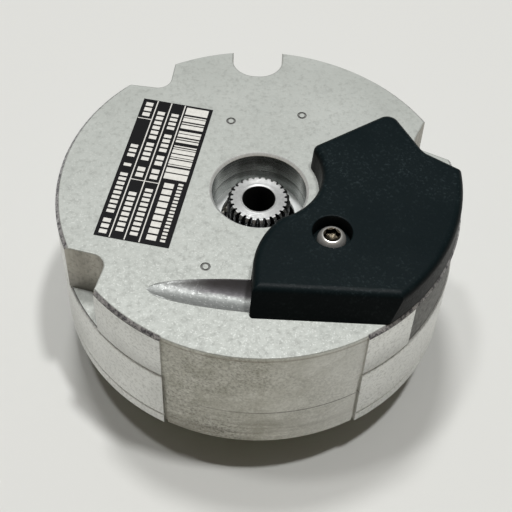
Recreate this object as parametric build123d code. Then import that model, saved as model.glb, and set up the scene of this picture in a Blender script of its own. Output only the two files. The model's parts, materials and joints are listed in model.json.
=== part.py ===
"""Absolute multi-turn rotary encoder for a motor's shaft end, without its own bearing.

Millimetres. The shaft axis is Z, and z = 0 is the housing's mounting face, which meets the motor.
+Z points to the cable cover, and -Y to the housing's unturned front segment.
"""
import os
from math import acos, atan2, cos, degrees, pi, radians, sin, sqrt, tan
from build123d import *

# Housing
HOUSING_R = 32.5            # turned outside, the register in the motor
CAST_R = 32.15              # unturned casting, a little inside the register
HOUSING_H = 24.3
RIM_CHAMFER = 0.6
PLATE_T = 3.6               # top plate
FRONT_SEGMENT = (-114.5, -58.0)
SIDE_POCKET = (-41.5, 14.0)
LEDGE_Z = 14.0              # floor of the clamp notches, and the upper turned line
LOWER_LINE_Z = 2.4
LINE_WIDTH = 0.45
LINE_DEPTH = 0.35
SEGMENT_STEP_Z = 8.7        # die parting line on the front segment
BOARD_ROOM_R = 29.5
LOWER_ROOM_R = 28.0
GEAR_ROOM_R = 23.6
CARRIER_Z = 12.6            # shoulder that the gear carrier sits against
NOTCHES = ((126.9, 129.6), (213.8, 212.4), (24.1, 21.5))   # (corner azimuth, bisector azimuth)
NOTCH_CORNER_R = 27.2       # corner's distance from the axis
NOTCH_FILLET = 2.3
SLOT_X = -1.4               # round-bottomed slot in the rear rim
SLOT_WIDTH = 8.6
SLOT_Y = 25.9
SLOT_FILLET = 4.0
BORE_R = 7.55
BORE_CHAMFER = 0.35
TUBE_R = 9.3
TUBE_Z = 16.9
SHIELD_R = 6.15             # dust shield's hole
SHIELD_T = 0.6
CAST_MARKS = ((-5.3, 14.8), (6.6, 16.9), (-7.6, -16.05))
MARK_R = 0.8
MARK_DEPTH = 0.12
CONNECTOR_WINDOW = (11.0, 5.2)
SCREW_BOSS_R = 3.0
SCREW_BLIND = 3.0           # depth of a tapped hole in the top plate

# Nameplate
PLATE_SIZE = (12.0, 30.4)
PLATE_AT = (-16.87, 3.05)
PLATE_TILT = -9.5
PLATE_FILM_T = 0.1

# Cable groove in the top plate, sunk deeper towards the cover
GROOVE_R = 3.0
GROOVE_START = (-16.0, -20.75)
GROOVE_SLOPE = 0.15
GROOVE_TURN = -1.4
GROOVE_RUN = 19.0

# Cable cover
COVER_H = 5.0
COVER_WALL = 1.5
COVER_ROOF = 1.7
COVER_DRAFT = 3.0
COVER_ROUND = 1.3
COVER_OUT_R = 32.2
COVER_BORE_R = 9.6
COVER_FRONT_Y = -25.2
COVER_FRONT_LEAN = 23.0
COVER_LEFT_X = -0.6
COVER_SIDE_TOP = (-0.6, -18.2)      # where the left wall starts to bend towards the bore
COVER_SIDE_BEND = (0.35, -13.6)
COVER_REAR_CORNER = (21.2, 14.65)
COVER_BEND = (26.3, 5.9)
COVER_BORE_ARC = (-68.6, 36.5)      # azimuths where the wall follows the bore
TUNNEL_WIDTH = 5.6
TUNNEL_H = 3.0
TUNNEL_Y = -21.15
COVER_SCREW_AT = (11.35, -12.0)
COUNTERBORE_R = 3.0
COVER_BOSS_R = 4.2
HEAD_SEAT_H = 2.3           # screw seat above the top plate

# Shaft and rotor
SHAFT_TIP_Z = -9.5
SHAFT_END_Z = 22.04
SCREW_BORE_R = 2.65         # clearance for an M5 screw
TAPER_LARGE_R = 4.625       # 1:10 taper, 9.25 mm at its large end
HUB_SEAT_R = 5.0
SHAFT_R = 4.5
SERRATION_TEETH = 26
SERRATION_TIP_R = 5.1
SERRATION_ROOT_R = 4.2
SERRATION_Z = 18.5
SERRATION_LEAD = 0.5
HUB_COLLAR_R = 6.5
HUB_FLANGE_R = 9.5
ROTOR_R = 22.5
ROTOR_Z = (1.0, 2.2)
HUB_FLANGE_Z = (2.2, 3.6)
TRACK_BAND = (14.0, 17.6)   # inner and outer radius of the pads
TRACK_PADS = 32

# Boards
SCAN_GAP = 0.65
TRACK_T = 0.1
SCAN_BOARD_Z = ROTOR_Z[1] + TRACK_T + SCAN_GAP
BOARD_T = 1.6
SHOULDER_Z = SCAN_BOARD_Z + BOARD_T
MAIN_BOARD_Z = 8.0
MAIN_BOARD_T = 1.2
COUNTER_BOARD_Z = 19.6
BOARD_SCREW_R = 26.5        # pitch radius of the scanning board's screws
BOARD_SCREW_AZ = (90, 210, 330)
SPACER_R = 19.0
SPACER_AZ = (30, 150, 270)
COUNTER_SCREW_AZ = (35, 215, 290)
COUNTER_SCREW_R = 21.0
CARRIER_SCREW_AZ = (60, 170, 300)
CARRIER_SCREW_R = 25.7
CONNECTOR_AT = (16.5, -1.5)
CONNECTOR_SIZE = (10.4, 4.8)
CONNECTOR_WALL = 0.6
CONNECTOR_BASE = 1.2
PIN_PITCH = 1.4
HEADER_AT = (15.5, -10.5)
HEADER_SIZE = (6.0, 2.6)
SPACER_PIN_R = 0.7
SHAFT_OPENING_R = 6.6       # gear carrier's hole around the shaft
CARRIER_T = 1.4

# Gear train
MODULE = 0.4
DRIVE_TEETH = 28
STAGE_1_TEETH = 35
STAGE_TEETH = 40
PINION_TEETH = 10
LAYERS = ((12.9, 13.9), (14.2, 15.2), (15.5, 16.4))
AXLE_R = 0.5
AXLE_CLEARANCE = 0.04
STAGE_RHO = (MODULE * (DRIVE_TEETH + STAGE_1_TEETH) / 2, 14.2, 14.2)
STAGE_GAP = MODULE * (PINION_TEETH + STAGE_TEETH) / 2
STAGE_1_AZ = 100.0
MAGNET_R = 2.0
CUP_Z = (16.6, 18.2)

M2_R = 1.0
M2_HEAD = (1.9, 1.2)        # radius and height of a pan head
M25_R = 1.25
M25_HEAD = (2.25, 2.0)
BASE = (Align.CENTER, Align.CENTER, Align.MIN)


def polar(r, az):
    return (r * cos(radians(az)), r * sin(radians(az)))


def post(r, z0, z1, at=(0, 0)):
    """Upright cylinder between two heights."""
    return Pos(at[0], at[1], z0) * Cylinder(r, z1 - z0, align=BASE)


def ring(r_in, r_out, z0, z1):
    return post(r_out, z0, z1) - post(r_in, z0 - 1, z1 + 1)


def block(x, y, z0, z1, at=(0, 0), az=0):
    return Pos(at[0], at[1], z0) * Rot(0, 0, az) * Box(x, y, z1 - z0, align=BASE)


def turned(points):
    """Solid of revolution about Z from its (radius, height) outline."""
    outline = Polyline([(r, 0, z) for r, z in points], close=True)
    return revolve(make_face(outline), axis=Axis.Z)


def plate(points, z0, z1):
    """Upright prism from its outline."""
    return Pos(0, 0, z0) * extrude(make_face(Polyline(points, close=True)), amount=z1 - z0)


def sector(az0, az1, z0, z1, reach=40.0):
    """Wedge about the axis, wide enough to cross the whole wall."""
    middle = (az0 + az1) / 2
    corners = [(0, 0)] + [polar(reach, az) for az in (az0, middle, az1)]
    return plate(corners, z0, z1)


def around(azimuths, r, shape):
    """Copies of one shape, each on its azimuth."""
    return [Pos(*polar(r, az), 0) * Rot(0, 0, az) * shape for az in azimuths]


def save(node, *solids):
    shape = solids[0] if len(solids) == 1 else Compound(children=list(solids))
    export_step(shape, f"parts/{node}.step")


# ---------------------------------------------------------------- housing

def outer_body():
    """Turned drum with the unturned front segment and side pocket."""
    drum = turned([(0, 0), (HOUSING_R, 0), (HOUSING_R, HOUSING_H - RIM_CHAMFER),
                   (HOUSING_R - RIM_CHAMFER, HOUSING_H), (0, HOUSING_H)])
    for z in (LEDGE_Z, LOWER_LINE_Z):
        drum -= ring(HOUSING_R - LINE_DEPTH, HOUSING_R + 1, z - LINE_WIDTH / 2, z + LINE_WIDTH / 2)
    pocket = sector(*SIDE_POCKET, LEDGE_Z, HOUSING_H - RIM_CHAMFER)
    drum -= pocket & ring(CAST_R, HOUSING_R + 1, 0, HOUSING_H)
    front = sector(*FRONT_SEGMENT, 0, HOUSING_H)
    body = (drum - front) + (post(CAST_R, 0, HOUSING_H) & front)
    for az in FRONT_SEGMENT:
        body -= Pos(*polar(CAST_R, az), 0) * Rot(0, 0, az) * block(0.7, 0.45, 0, SEGMENT_STEP_Z)
    return body


def corner_notch(corner_az, bisector_az):
    """Square corner cut into the rim, open outwards, with a rounded inner corner."""
    side = 20.0
    tool = Box(side, side, HOUSING_H, align=(Align.MIN, Align.MIN, Align.MIN))
    inner = tool.edges().filter_by(Axis.Z).sort_by_distance(Vector(0, 0, HOUSING_H / 2))[0]
    tool = fillet(inner, NOTCH_FILLET)
    return Pos(*polar(NOTCH_CORNER_R, corner_az), LEDGE_Z) * Rot(0, 0, bisector_az - 45) * tool


def rear_slot():
    tool = Box(SLOT_WIDTH, 12, HOUSING_H, align=(Align.CENTER, Align.MIN, Align.MIN))
    inner = tool.edges().filter_by(Axis.Z).group_by(Axis.Y)[0]
    return Pos(SLOT_X, SLOT_Y, LEDGE_Z) * fillet(inner, SLOT_FILLET)


def cable_groove():
    """Round-bottomed groove whose axis dips towards the cover."""
    dip = degrees(atan2(GROOVE_SLOPE, 1))
    tool = Cylinder(GROOVE_R, GROOVE_RUN + 6, align=BASE)
    start_z = HOUSING_H + GROOVE_R / cos(radians(dip))
    frame = Pos(*GROOVE_START, start_z) * Rot(0, 0, GROOVE_TURN) * Rot(0, 90 + dip, 0) * Pos(0, 0, -6)
    return frame * tool


def rooms():
    """Stepped inside of the housing, open at the mounting face."""
    inside = post(BOARD_ROOM_R, -1, SHOULDER_Z)
    inside += post(LOWER_ROOM_R, 0, CARRIER_Z)
    inside += post(GEAR_ROOM_R, 0, HOUSING_H - PLATE_T)
    return inside


def housing():
    body = outer_body() - rooms()
    bosses = around(BOARD_SCREW_AZ, BOARD_SCREW_R, post(SCREW_BOSS_R, SHOULDER_Z, CARRIER_Z + 0.5))
    for boss in bosses:
        body += boss
    body += ring(BORE_R, TUBE_R, TUBE_Z, HOUSING_H - PLATE_T + 0.5)
    for corner_az, bisector_az in NOTCHES:
        body -= corner_notch(corner_az, bisector_az)
    body -= rear_slot()
    body -= cable_groove()
    body -= post(BORE_R, 10, HOUSING_H + 1)
    body -= turned([(0, HOUSING_H - BORE_CHAMFER), (BORE_R, HOUSING_H - BORE_CHAMFER),
                    (BORE_R + BORE_CHAMFER, HOUSING_H), (0, HOUSING_H)])
    body -= block(*CONNECTOR_WINDOW, HOUSING_H - PLATE_T - 1, HOUSING_H + 1, CONNECTOR_AT)
    body -= post(M25_R, HOUSING_H - SCREW_BLIND - 0.1, HOUSING_H + 1, COVER_SCREW_AT)
    for hole in around(BOARD_SCREW_AZ, BOARD_SCREW_R, post(M2_R, 0, 10.0)):
        body -= hole
    for hole in around(CARRIER_SCREW_AZ, CARRIER_SCREW_R, post(M2_R, 12, 16.0)):
        body -= hole
    for hole in around(COUNTER_SCREW_AZ, COUNTER_SCREW_R, post(M2_R, 20, 23.0)):
        body -= hole
    for x, y in CAST_MARKS:
        body -= Pos(x, y, HOUSING_H - MARK_DEPTH) * ring(MARK_R - 0.2, MARK_R, 0, 1)
    return body


def nameplate():
    """Thin self-adhesive plate."""
    outline = RectangleRounded(*PLATE_SIZE, 0.3)
    return Pos(*PLATE_AT, HOUSING_H) * Rot(0, 0, PLATE_TILT) * extrude(outline, amount=PLATE_FILM_T)


def dust_shield():
    """Washer that closes the bore's tube around the shaft."""
    base_z = TUBE_Z + 0.1
    return ring(SHIELD_R, BORE_R, base_z, base_z + SHIELD_T)


# ------------------------------------------------------------ cable cover

def cover_outline():
    """Base outline of the cover, on the top plate."""
    front_left = (COVER_LEFT_X, COVER_FRONT_Y)
    bore_start = polar(COVER_BORE_R, COVER_BORE_ARC[0])
    bore_end = polar(COVER_BORE_R, COVER_BORE_ARC[1])
    rear_right = polar(COVER_OUT_R, 4.4)
    front_right = (sqrt(COVER_OUT_R ** 2 - COVER_FRONT_Y ** 2), COVER_FRONT_Y)
    edges = [
        Line(front_left, COVER_SIDE_TOP),
        ThreePointArc(COVER_SIDE_TOP, COVER_SIDE_BEND, bore_start),
        ThreePointArc(bore_start, polar(COVER_BORE_R, -16), bore_end),
        Line(bore_end, COVER_REAR_CORNER),
        Line(COVER_REAR_CORNER, COVER_BEND),
        Line(COVER_BEND, rear_right),
        ThreePointArc(rear_right, polar(COVER_OUT_R, -24), front_right),
        Line(front_right, front_left),
    ]
    outline = make_face(edges)
    for place, radius in ((COVER_REAR_CORNER, 2.2), (COVER_BEND, 3.0), (bore_end, 1.2), (rear_right, 1.0)):
        corner = outline.vertices().sort_by_distance(Vector(*place))[0]
        outline = fillet(corner, radius)
    return outline


def behind_front_face(inset):
    """Half-space behind the cover's leaning front face."""
    slab = Box(90, 90, 60, align=(Align.CENTER, Align.MIN, Align.CENTER))
    return Pos(0, COVER_FRONT_Y + inset, HOUSING_H) * Rot(-COVER_FRONT_LEAN, 0, 0) * slab


def cover_shell():
    body = Pos(0, 0, HOUSING_H) * extrude(cover_outline(), amount=COVER_H)
    body &= behind_front_face(0)
    walls = [face for face in body.faces() if abs(face.normal_at().Z) < 0.01]
    body = draft(walls, Plane(origin=(0, 0, HOUSING_H)), COVER_DRAFT)
    top = body.faces().sort_by(Axis.Z)[-1]
    return fillet(top.edges(), COVER_ROUND)


def cable_tunnel():
    """Way for the cable through the cover's left wall."""
    tool = Box(12, TUNNEL_WIDTH, 2 * TUNNEL_H, align=(Align.MIN, Align.CENTER, Align.CENTER))
    upper = tool.edges().filter_by(Axis.X).group_by(Axis.Z)[-1]
    return Pos(-4, TUNNEL_Y, HOUSING_H) * fillet(upper, 0.8)


def cable_cover():
    shell = cover_shell()
    inner = offset(cover_outline(), amount=-COVER_WALL)
    roof_z = HOUSING_H + COVER_H - COVER_ROOF
    hollow = Pos(0, 0, HOUSING_H - 1) * extrude(inner, amount=roof_z - HOUSING_H + 1)
    hollow &= behind_front_face(COVER_WALL + 0.3)
    boss = post(COVER_BOSS_R, HOUSING_H - 2, HOUSING_H + COVER_H, COVER_SCREW_AT)
    body = shell - (hollow - boss)
    body -= cable_tunnel() - boss
    body -= post(M25_R + 0.15, HOUSING_H - 1, HOUSING_H + COVER_H, COVER_SCREW_AT)
    body -= post(COUNTERBORE_R, HOUSING_H + HEAD_SEAT_H, HOUSING_H + COVER_H + 1, COVER_SCREW_AT)
    return body


# -------------------------------------------------------------- fasteners

def lobe_recess(r, depth):
    """Six-lobed drive recess, opening upwards at z = 0."""
    tool = post(0.72 * r, -depth, 1)
    for az in range(0, 360, 60):
        tool += post(0.26 * r, -depth, 1, polar(0.74 * r, az))
    return tool


def screw(r, length, head_r, head_h):
    """Pan-head screw pointing down, with the underside of its head at z = 0."""
    head = turned([(0, 0), (head_r, 0), (head_r, head_h * 0.6), (head_r * 0.82, head_h), (0, head_h)])
    return head + post(r, -length, 0) - Pos(0, 0, head_h) * lobe_recess(head_r * 0.6, head_h * 0.65)


def upward(shape):
    return Rot(180, 0, 0) * shape


def cover_screw():
    seat = HOUSING_H + HEAD_SEAT_H
    length = seat - (HOUSING_H - SCREW_BLIND)
    return Pos(*COVER_SCREW_AT, seat) * screw(M25_R, length, *M25_HEAD)


# ------------------------------------------------------------------ gears

def involute(angle):
    return tan(angle) - angle


def tooth_flank(teeth, r_out, r_root):
    """(radius, half tooth angle) pairs up one flank, with room for backlash."""
    pressure = radians(20)
    pitch_r = MODULE * teeth / 2
    base_r = pitch_r * cos(pressure)
    half_pitch_angle = 0.84 * pi / (2 * teeth)
    start_r = max(base_r * 1.001, r_root)
    flank = []
    for step in range(4):
        r = start_r + (r_out - start_r) * step / 3
        flank.append((r, half_pitch_angle + involute(pressure) - involute(acos(base_r / r))))
    if r_root < start_r:
        flank.insert(0, (r_root, flank[0][1]))
    return flank


def gear_disc(teeth, z0, z1, phase=0.0):
    """Spur gear with a tooth centred on the phase angle, in degrees."""
    pitch_r = MODULE * teeth / 2
    flank = tooth_flank(teeth, pitch_r + 0.8 * MODULE, pitch_r - 1.25 * MODULE)
    points = []
    for tooth in range(teeth):
        middle = radians(phase) + 2 * pi * tooth / teeth
        points += [(r * cos(middle - a), r * sin(middle - a)) for r, a in flank]
        points += [(r * cos(middle + a), r * sin(middle + a)) for r, a in reversed(flank)]
    return plate(points, z0, z1)


def stage_places():
    """Centre of each stage wheel: 1 meshes with the shaft, 2 with 1, and 3 with 2."""
    places = []
    az = STAGE_1_AZ
    for index, rho in enumerate(STAGE_RHO):
        if index:
            last = STAGE_RHO[index - 1]
            az += degrees(acos((last ** 2 + rho ** 2 - STAGE_GAP ** 2) / (2 * last * rho)))
        places.append(polar(rho, az))
    return places


def mesh_phase(driver_at, driver_teeth, driver_phase, wheel_at, wheel_teeth):
    """Phase that puts a wheel's gap opposite the driver's tooth on the line of centres."""
    line = degrees(atan2(wheel_at[1] - driver_at[1], wheel_at[0] - driver_at[0]))
    driver_part = (line - driver_phase) * driver_teeth / 360
    wheel_part = 0.5 - driver_part
    return line + 180 - wheel_part * 360 / wheel_teeth


def stage_wheel(teeth, layer, phase, has_pinion):
    """Moulded wheel: gear, the pinion above it, and a cup for its magnet."""
    z0, z1 = LAYERS[layer]
    body = gear_disc(teeth, z0, z1, phase)
    body += post(1.4, LAYERS[0][0] - 0.2, CUP_Z[0] + 0.05)
    if has_pinion:
        low, high = LAYERS[layer + 1]
        body += gear_disc(PINION_TEETH, low - 0.1, high + 0.1)
    body += turned([(0, CUP_Z[0]), (2.6, CUP_Z[0]), (2.6, CUP_Z[1]), (0, CUP_Z[1])])
    body -= post(MAGNET_R, CUP_Z[0] + 0.15, CUP_Z[1] + 1)
    body -= post(AXLE_R + AXLE_CLEARANCE, 0, LAYERS[2][1])
    return body


def stage_magnet():
    return post(MAGNET_R, CUP_Z[0] + 0.15, CUP_Z[1])


def gear_carrier():
    """Moulded plate that carries the stage axles."""
    body = post(LOWER_ROOM_R - 0.3, CARRIER_Z - CARRIER_T, CARRIER_Z)
    body -= post(SHAFT_OPENING_R, 0, HOUSING_H)
    for hole in around(BOARD_SCREW_AZ, BOARD_SCREW_R, post(SCREW_BOSS_R + 0.3, 0, HOUSING_H)):
        body -= hole
    for hole in around(CARRIER_SCREW_AZ, CARRIER_SCREW_R, post(M2_R, 0, HOUSING_H)):
        body -= hole
    for at in stage_places():
        body -= post(AXLE_R, 0, HOUSING_H, at)
    body -= block(HEADER_SIZE[0] + 0.4, HEADER_SIZE[1] + 0.4, 0, HOUSING_H, HEADER_AT)
    return body


# ----------------------------------------------------------------- boards

def scanning_board():
    body = ring(10.3, BOARD_ROOM_R - 0.2, SCAN_BOARD_Z, SHOULDER_Z)
    for hole in around(BOARD_SCREW_AZ, BOARD_SCREW_R, post(M2_R, 0, 10)):
        body -= hole
    for hole in around(SPACER_AZ, SPACER_R, post(SPACER_PIN_R, 0, 10)):
        body -= hole
    return body


def scanning_coils():
    """Printed coil rings on the underside of the scanning board."""
    rows = ((11.2, 13.4), TRACK_BAND, (20.4, 22.2))
    return [ring(r_in, r_out, SCAN_BOARD_Z - 0.05, SCAN_BOARD_Z) for r_in, r_out in rows]


def main_board():
    body = ring(9.0, 23.0, MAIN_BOARD_Z, MAIN_BOARD_Z + MAIN_BOARD_T)
    for hole in around(SPACER_AZ, SPACER_R, post(SPACER_PIN_R, 0, 10)):
        body -= hole
    return body


def signal_chips():
    """Packages soldered to the two lower boards."""
    top = MAIN_BOARD_Z + MAIN_BOARD_T
    chips = [block(7, 7, top, top + 0.9, polar(16, 95), 5), block(5, 6.2, top, top + 1.4, polar(16, 200), 20)]
    chips += [block(3, 3, top, top + 0.8, polar(17, az), az) for az in (60, 128, 235)]
    chips += [block(1.6, 0.8, top, top + 0.5, polar(12, az), az) for az in range(110, 300, 38)]
    chips += [block(3.9, 5, SHOULDER_Z, SHOULDER_Z + 1.5, polar(16, az), az) for az in (60, 180, 300)]
    return chips


def board_spacer():
    """Round spacer with a soldered pin at each end."""
    top = MAIN_BOARD_Z + MAIN_BOARD_T
    return post(1.6, SHOULDER_Z, MAIN_BOARD_Z) + post(SPACER_PIN_R, SCAN_BOARD_Z + 0.1, top + 0.2)


def link_header():
    """Tall pin header between the main board and the turn counter board."""
    return block(*HEADER_SIZE, MAIN_BOARD_Z + MAIN_BOARD_T, COUNTER_BOARD_Z, HEADER_AT)


def turn_counter_board():
    body = ring(TUBE_R + 0.4, GEAR_ROOM_R - 0.4, COUNTER_BOARD_Z, HOUSING_H - PLATE_T)
    for hole in around(COUNTER_SCREW_AZ, COUNTER_SCREW_R, post(M2_R, 0, HOUSING_H)):
        body -= hole
    return body


def hall_sensors():
    return [block(3, 3, COUNTER_BOARD_Z - 0.9, COUNTER_BOARD_Z, at) for at in stage_places()]


def board_connector():
    """Open-topped shroud of the cable's plug-in connector."""
    base_z = HOUSING_H - PLATE_T
    width, depth = CONNECTOR_SIZE
    body = block(width, depth, base_z, base_z + 5.2, CONNECTOR_AT)
    inside = block(width - 2 * CONNECTOR_WALL, depth - 2 * CONNECTOR_WALL, 0, 10, CONNECTOR_AT)
    return body - Pos(0, 0, base_z + CONNECTOR_BASE) * inside


def connector_pins():
    base_z = HOUSING_H - PLATE_T + CONNECTOR_BASE
    x0, y0 = CONNECTOR_AT
    pins = []
    for column in range(6):
        for side in (-0.5, 0.5):
            at = (x0 + (column - 2.5) * PIN_PITCH, y0 + side * PIN_PITCH)
            pins.append(block(0.4, 0.4, base_z, base_z + 3.2, at))
    return pins


# ------------------------------------------------------------------ rotor

def serrated_end():
    """Straight teeth at the shaft's rear end, with a chamfered lead-in."""
    pitch = 2 * pi / SERRATION_TEETH
    points = []
    for tooth in range(SERRATION_TEETH):
        for r, part in ((SERRATION_ROOT_R, -0.42), (SERRATION_TIP_R, -0.17), (SERRATION_TIP_R, 0.17),
                        (SERRATION_ROOT_R, 0.42)):
            angle = (tooth + part) * pitch
            points.append((r * cos(angle), r * sin(angle)))
    lead = SERRATION_LEAD
    blank = turned([(0, SERRATION_Z), (SERRATION_TIP_R, SERRATION_Z), (SERRATION_TIP_R, SHAFT_END_Z - lead),
                    (SERRATION_TIP_R - lead, SHAFT_END_Z), (0, SHAFT_END_Z)])
    return plate(points, SERRATION_Z, SHAFT_END_Z) & blank


def taper_shaft():
    """Hollow shaft: 1:10 taper, hub seat, pinion and serrated end in one piece."""
    tip_r = TAPER_LARGE_R + SHAFT_TIP_Z / 20
    pinion_z = (LAYERS[0][0] - 0.15, LAYERS[0][1] + 0.15)
    body = turned([(0, SHAFT_TIP_Z), (tip_r - 0.4, SHAFT_TIP_Z), (tip_r, SHAFT_TIP_Z + 0.4),
                   (TAPER_LARGE_R, -0.3), (HUB_SEAT_R, -0.3), (HUB_SEAT_R, 3.6), (5.6, 3.6), (5.6, 5.0),
                   (SHAFT_R, 6.0), (SHAFT_R, 17.2), (SERRATION_ROOT_R + 0.1, SERRATION_Z),
                   (SERRATION_ROOT_R, SHAFT_END_Z - 1), (0, SHAFT_END_Z - 1)])
    body += gear_disc(DRIVE_TEETH, *pinion_z)
    body += serrated_end()
    bore = turned([(0, SHAFT_TIP_Z - 1), (SCREW_BORE_R + 1.3, SHAFT_TIP_Z - 1), (SCREW_BORE_R, SHAFT_TIP_Z + 0.3),
                   (SCREW_BORE_R, SHAFT_END_Z - 0.2), (SCREW_BORE_R + 1.2, SHAFT_END_Z + 1), (0, SHAFT_END_Z + 1)])
    return body - bore


def rotor_hub():
    """Flanged bush that carries the rotor disc on the shaft."""
    low, high = HUB_FLANGE_Z
    return turned([(HUB_SEAT_R, 0.2), (HUB_COLLAR_R - 0.2, 0.2), (HUB_COLLAR_R, 0.4), (HUB_COLLAR_R, low),
                   (HUB_FLANGE_R, low), (HUB_FLANGE_R, high), (HUB_SEAT_R, high)])


def rotor_disc():
    return ring(HUB_COLLAR_R + 0.03, ROTOR_R, *ROTOR_Z)


def rotor_tracks():
    """Ring of copper pads that the scanning coils read."""
    band = ring(*TRACK_BAND, ROTOR_Z[1], ROTOR_Z[1] + TRACK_T)
    step = 360 / TRACK_PADS
    pad = band & sector(-step / 4, step / 4, 0, 10)
    return [Rot(0, 0, index * step) * pad for index in range(TRACK_PADS)]


# ------------------------------------------------------------------- save

def save_gear_train():
    places = stage_places()
    phase_1 = mesh_phase((0, 0), DRIVE_TEETH, 0, places[0], STAGE_1_TEETH)
    phase_2 = mesh_phase(places[0], PINION_TEETH, 0, places[1], STAGE_TEETH)
    phase_3 = mesh_phase(places[1], PINION_TEETH, 0, places[2], STAGE_TEETH)
    rows = ((STAGE_1_TEETH, phase_1, True), (STAGE_TEETH, phase_2, True), (STAGE_TEETH, phase_3, False))
    for index, (teeth, phase, has_pinion) in enumerate(rows):
        place = Pos(*places[index], 0)
        save(f"stage_{index + 1}_wheel", place * stage_wheel(teeth, index, phase, has_pinion))
        save(f"stage_{index + 1}_magnet", place * stage_magnet())
    save("gear_carrier", gear_carrier())
    low_z = CARRIER_Z - CARRIER_T
    save("gear_axle_pins", *[post(AXLE_R, low_z, LAYERS[2][1] - 0.1, at) for at in places])
    carrier_screw = Pos(0, 0, low_z) * upward(screw(M2_R, 4.6, *M2_HEAD))
    save("carrier_screws", *around(CARRIER_SCREW_AZ, CARRIER_SCREW_R, carrier_screw))


def save_boards():
    save("scanning_board", scanning_board())
    save("scanning_coils", *scanning_coils())
    save("main_board", main_board())
    save("signal_chips", *signal_chips())
    save("board_spacers", *around(SPACER_AZ, SPACER_R, board_spacer()))
    save("board_link_header", link_header())
    save("turn_counter_board", turn_counter_board())
    save("hall_sensors", *hall_sensors())
    save("board_connector", board_connector())
    save("connector_pins", *connector_pins())
    board_screw = Pos(0, 0, SCAN_BOARD_Z) * upward(screw(M2_R, 6.9, *M2_HEAD))
    save("scanning_board_screws", *around(BOARD_SCREW_AZ, BOARD_SCREW_R, board_screw))
    counter_screw = Pos(0, 0, COUNTER_BOARD_Z) * upward(screw(M2_R, 3.3, *M2_HEAD))
    save("counter_board_screws", *around(COUNTER_SCREW_AZ, COUNTER_SCREW_R, counter_screw))


def main():
    os.makedirs("parts", exist_ok=True)
    save("housing", housing())
    save("nameplate", nameplate())
    save("dust_shield", dust_shield())
    save("cable_cover", cable_cover())
    save("cover_screw", cover_screw())
    save_boards()
    save_gear_train()
    save("taper_shaft", taper_shaft())
    save("rotor_hub", rotor_hub())
    save("rotor_disc", rotor_disc())
    save("rotor_tracks", *rotor_tracks())


main()
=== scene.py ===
import json
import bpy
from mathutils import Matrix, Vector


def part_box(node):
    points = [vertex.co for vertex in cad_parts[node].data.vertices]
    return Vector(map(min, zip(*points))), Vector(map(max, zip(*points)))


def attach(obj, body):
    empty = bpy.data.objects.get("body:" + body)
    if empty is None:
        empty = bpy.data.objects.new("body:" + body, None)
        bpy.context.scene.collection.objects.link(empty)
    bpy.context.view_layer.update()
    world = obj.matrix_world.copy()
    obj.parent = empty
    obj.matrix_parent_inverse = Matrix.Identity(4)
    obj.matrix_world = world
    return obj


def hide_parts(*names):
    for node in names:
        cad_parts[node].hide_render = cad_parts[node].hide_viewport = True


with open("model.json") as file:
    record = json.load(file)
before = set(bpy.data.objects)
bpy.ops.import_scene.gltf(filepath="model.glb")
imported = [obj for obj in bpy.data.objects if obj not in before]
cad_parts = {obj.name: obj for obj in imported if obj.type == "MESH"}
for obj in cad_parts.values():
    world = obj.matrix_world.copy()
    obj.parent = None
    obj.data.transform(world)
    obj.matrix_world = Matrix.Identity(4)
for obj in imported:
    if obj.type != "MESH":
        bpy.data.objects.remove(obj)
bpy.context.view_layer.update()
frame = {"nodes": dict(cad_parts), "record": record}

from copy import copy
from math import acos, atan2, cos, degrees, pi, radians, sin, sqrt, tan
import bmesh
import bpy
from mathutils import Matrix, Vector
from mathutils.geometry import delaunay_2d_cdt

MM = 0.001
SEAM_Z = 8.7
NODES = frame["nodes"]
FLOOR_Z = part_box("taper_shaft")[0][2]


# ---- materials

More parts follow.
